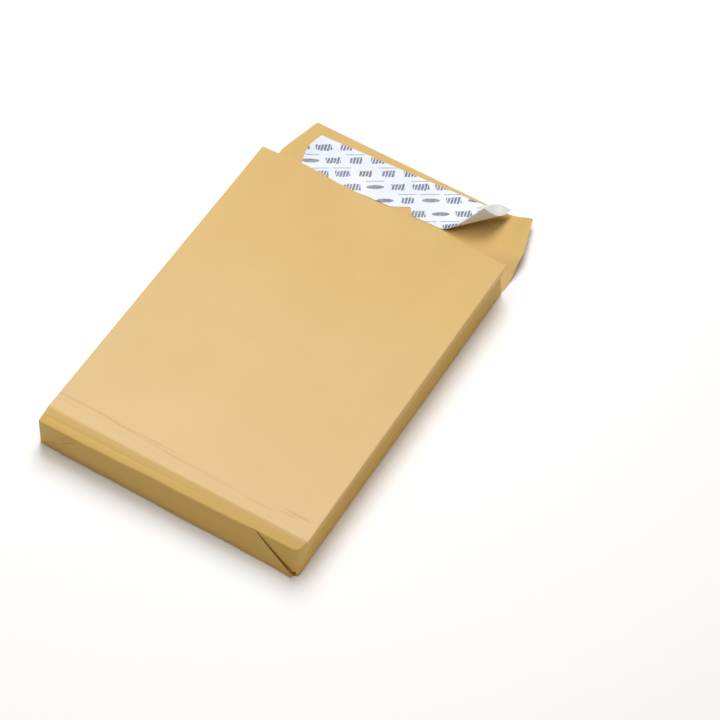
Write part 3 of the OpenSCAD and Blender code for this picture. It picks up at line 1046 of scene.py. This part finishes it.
def printed_liner():
    """Smooth siliconised paper with a slate-blue print, which stops short of the strip's end; past it the
    paper is painted greyer and warmer, standing in for shade and for kraft seen through it.
    """
    material, tree, shader = new_material("printed liner paper")
    layout, turned = print_layout(tree)
    place = object_place(tree)
    stock = stock_of(tree, place, LINER_TONES, cloud=0.6, fibre=0.2)
    inks = use_group(tree, PRINTED_ROWS, {"Layout": turned, "Row": ROW_HEIGHT, "Column": COLUMN_WIDTH})
    along = add(tree, "ShaderNodeSeparateXYZ", {0: layout}).outputs[0]
    patches = spread(tree, soft_noise(tree, place, INK_PATCHES), 0.3, 0.6, 0.7, 1.0)
    printed = product(tree, patches, figure(tree, "LESS_THAN", along, PRINT_END))
    bluish = spread(tree, soft_noise(tree, place, INK_SHADES, 1.0), 0.4, 0.6)
    stroke_ink = blend_colours(tree, bluish, DARK_INK, BLUE_INK)
    colour = stock.outputs["Color"]
    for mask, ink in (("Ovals", OVAL_INK), ("Strokes", stroke_ink), ("Rules", RULE_INK)):
        colour = blend_colours(tree, product(tree, inks.outputs[mask], printed), colour, ink)
    # Painted shade and painted see-through of the kraft grey and warm the strip's end past the print
    end_shade = spread(tree, along, PRINT_END, PRINT_END + END_SHADE_BLEND, 0.0, END_SHADE_SHARE)
    feed(tree, shader.inputs["Base Color"], blend_colours(tree, end_shade, colour, END_SHADE_TINT))
    rough = figure(tree, "MULTIPLY_ADD", stock.outputs["Gloss Change"], GLOSS_SPREAD, LINER_ROUGHNESS)
    feed(tree, shader.inputs["Roughness"], rough)
    give_relief(tree, shader, stock.outputs["Height"], 0.25, LINER_GRAIN)
    thin_paper(shader)
    return material


def liner_back():
    """The back of the liner: plain greyish paper, through which the print shows faintly."""
    material, tree, shader = new_material("liner back")
    stock = stock_of(tree, object_place(tree), LINER_BACK_TONES, cloud=0.6, fibre=0.3)
    turned = print_layout(tree)[1]
    inks = use_group(tree, PRINTED_ROWS, {"Layout": turned, "Row": ROW_HEIGHT, "Column": COLUMN_WIDTH})
    marks = figure(tree, "MAXIMUM", inks.outputs["Strokes"], inks.outputs["Ovals"])
    through = product(tree, marks, SHOW_THROUGH)
    feed(tree, shader.inputs["Base Color"], blend_colours(tree, through, stock.outputs["Color"], OVAL_INK))
    gloss = stock.outputs["Gloss Change"]
    rough = figure(tree, "MULTIPLY_ADD", gloss, BACK_GLOSS_SPREAD, LINER_BACK_ROUGHNESS)
    feed(tree, shader.inputs["Roughness"], rough)
    give_relief(tree, shader, stock.outputs["Height"], 0.4, LINER_GRAIN)
    thin_paper(shader)
    return material


def tacky_film():
    """The clear adhesive, through which the kraft shows, with coating ripples."""
    material, tree, shader = new_material("tacky film")
    place = object_place(tree)
    stock = stock_of(tree, place, FILM_TONES, cloud=0.6, fibre=0.3)
    ripples = soft_noise(tree, place, 260.0, 2.0, (0.25, 2.0, 1.0))
    feed(tree, shader.inputs["Base Color"], stock.outputs["Color"])
    feed(tree, shader.inputs["Roughness"], spread(tree, ripples, 0.3, 0.7, *FILM_ROUGHNESS))
    give_relief(tree, shader, ripples, 0.4, FILM_RIPPLES)
    return material


# Studio

FLOOR_SIZE = 14
FLOOR_DROP = 0.0002
FLOOR_COLOUR = (0.97, 0.97, 0.975, 1)
BACKDROP_LIGHT = 0.14

# Name, place, aim, size, power and colour of each lamp
WHITE = (1, 1, 1)
LAMPS = (
    ("key from behind", (-0.68, 1.3, 2.6), (0, 0, 0.02), 2.0, 61, WHITE),
    ("overhead", (-0.12, -0.12, 1.5), (-0.08, -0.08, 0.02), 1.2, 9.9, WHITE),
    ("warm bounce from the right", (2.2, -0.5, 0.7), (0.1, 0, 0.02), 1.6, 6.6, (1.0, 0.74, 0.42)),
)

# The camera that was fitted to the photograph
CAMERA_BEARING = math.radians(24.9225)
CAMERA_HEIGHT = math.radians(53.0109)
CAMERA_ROLL = math.radians(6.6212)
CAMERA_TARGET = (0.0566, 0.0444, 0.0)
CAMERA_DISTANCE = 2.24426
CAMERA_LENS = 129.737


def make_floor():
    select_only()
    bpy.ops.mesh.primitive_plane_add(size=FLOOR_SIZE, location=(0, 0, -FLOOR_DROP))
    floor = bpy.context.object
    floor.name = "studio_floor"
    bpy.ops.object.transform_apply(location=True, rotation=True, scale=True)
    material, _, shader = new_material("studio floor")
    shader.inputs["Base Color"].default_value = FLOOR_COLOUR
    shader.inputs["Roughness"].default_value = 0.9
    shader.inputs["Specular IOR Level"].default_value = 0.1
    floor.data.materials.append(material)


def add_lamp(name, place, aim, size, power, colour):
    data = bpy.data.lights.new(name, "AREA")
    data.shape = "DISK"
    data.size = size
    data.energy = power
    data.color = colour
    lamp = bpy.data.objects.new(name, data)
    bpy.context.scene.collection.objects.link(lamp)
    lamp.location = place
    lamp.rotation_mode = "QUATERNION"
    lamp.rotation_quaternion = (Vector(aim) - Vector(place)).to_track_quat("-Z", "Y")


def make_backdrop():
    """A backdrop that is white to look at, and lights the set only a little."""
    world = bpy.data.worlds.new("studio")
    world.use_nodes = True
    tree = world.node_tree
    sky = tree.nodes["Background"]
    sky.inputs["Color"].default_value = (1.0, 1.0, 1.0, 1)
    seen = add(tree, "ShaderNodeLightPath").outputs["Is Camera Ray"]
    strength = figure(tree, "MULTIPLY_ADD", seen, 1 - BACKDROP_LIGHT, BACKDROP_LIGHT)
    feed(tree, sky.inputs["Strength"], strength)
    bpy.context.scene.world = world


def make_studio():
    make_floor()
    make_backdrop()
    for lamp in LAMPS:
        add_lamp(*lamp)
    bpy.context.scene.view_settings.view_transform = "Standard"


def place_camera():
    """Places the camera by its bearing, height and roll, and its distance from what it looks at."""
    level = math.cos(CAMERA_HEIGHT)
    back = Vector(
        (math.sin(CAMERA_BEARING) * level, -math.cos(CAMERA_BEARING) * level, math.sin(CAMERA_HEIGHT))
    )
    data = bpy.data.cameras.new("camera")
    data.sensor_width = 36.0
    data.lens = CAMERA_LENS
    data.clip_start = 0.1
    data.clip_end = 60
    camera = bpy.data.objects.new("camera", data)
    bpy.context.scene.collection.objects.link(camera)
    camera.location = Vector(CAMERA_TARGET) + back * CAMERA_DISTANCE
    camera.rotation_mode = "QUATERNION"
    camera.rotation_quaternion = (-back).to_track_quat("-Z", "Y") @ Quaternion((0, 0, 1), CAMERA_ROLL)
    bpy.context.scene.camera = camera


def finish_piece(piece, replaced):
    select_only(piece)
    bpy.ops.object.shade_smooth_by_angle(angle=math.radians(40))
    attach(piece, "root")
    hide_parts(replaced)


place_camera()
make_studio()
finish_piece(make_envelope(), "envelope")
finish_piece(make_liner(), "release_liner")
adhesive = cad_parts["adhesive_strip"]
adhesive.data.materials.clear()
adhesive.data.materials.append(tacky_film())
